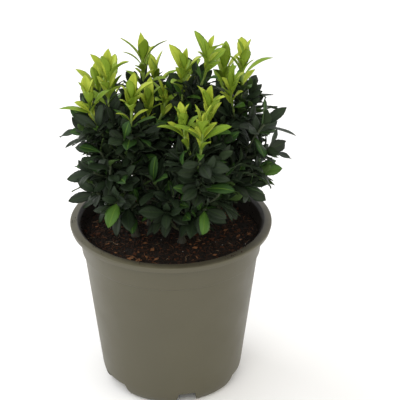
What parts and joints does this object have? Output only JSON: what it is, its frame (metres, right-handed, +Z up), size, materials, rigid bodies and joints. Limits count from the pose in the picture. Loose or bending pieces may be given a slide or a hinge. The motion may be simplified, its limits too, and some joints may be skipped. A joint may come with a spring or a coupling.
{
  "type": "japanese spindle shrub in its pot",
  "caption": "Young japanese spindle shrub with lime shoot tips over dark evergreen leaves, in a round rimmed nursery pot filled with compost.",
  "frame": {"origin": "centre of the pot's flat foot, on the surface that the pot stands on", "axes": "+Z up the pot's axis, +X to the right and -Y to the front as in the picture"},
  "size_m": [0.1948, 0.1858, 0.3097],
  "materials": {
    "pot_plastic": "satin",
    "compost": "matte",
    "bark": "matte",
    "green_bark": "satin",
    "foliage": "satin"
  },
  "bodies": {
    "root": {"pot": "pot_plastic", "compost": "compost", "stem_back": "bark", "stem_back_left": "bark", "stem_front": "bark", "stem_left": "bark", "stem_right": "bark", "bough_back_corner": "green_bark", "bough_back_mid": "green_bark", "bough_back_right": "green_bark", "bough_back_tip": "green_bark", "bough_centre": "green_bark", "bough_centre_left": "green_bark", "bough_far_left": "green_bark", "bough_front": "green_bark", "bough_left": "green_bark", "bough_low_back": "green_bark", "bough_low_back_left": "green_bark", "bough_low_front": "green_bark", "bough_low_front_left": "green_bark", "bough_low_front_right": "green_bark", "bough_low_left": "green_bark", "bough_low_right": "green_bark", "bough_low_side_left": "green_bark", "bough_low_side_right": "green_bark", "bough_mid_left": "green_bark", "bough_mid_right": "green_bark", "bough_right": "green_bark", "bough_side_right": "green_bark", "bough_tall_back_left": "green_bark", "foliage_back_corner": "foliage", "foliage_back_mid": "foliage", "foliage_back_right": "foliage", "foliage_back_tip": "foliage", "foliage_centre": "foliage", "foliage_centre_left": "foliage", "foliage_far_left": "foliage", "foliage_front": "foliage", "foliage_left": "foliage", "foliage_low_back": "foliage", "foliage_low_back_left": "foliage", "foliage_low_front": "foliage", "foliage_low_front_left": "foliage", "foliage_low_front_right": "foliage", "foliage_low_left": "foliage", "foliage_low_right": "foliage", "foliage_low_side_left": "foliage", "foliage_low_side_right": "foliage", "foliage_mid_left": "foliage", "foliage_mid_right": "foliage", "foliage_right": "foliage", "foliage_side_right": "foliage", "foliage_tall_back_left": "foliage"}
  },
  "joints": []
}
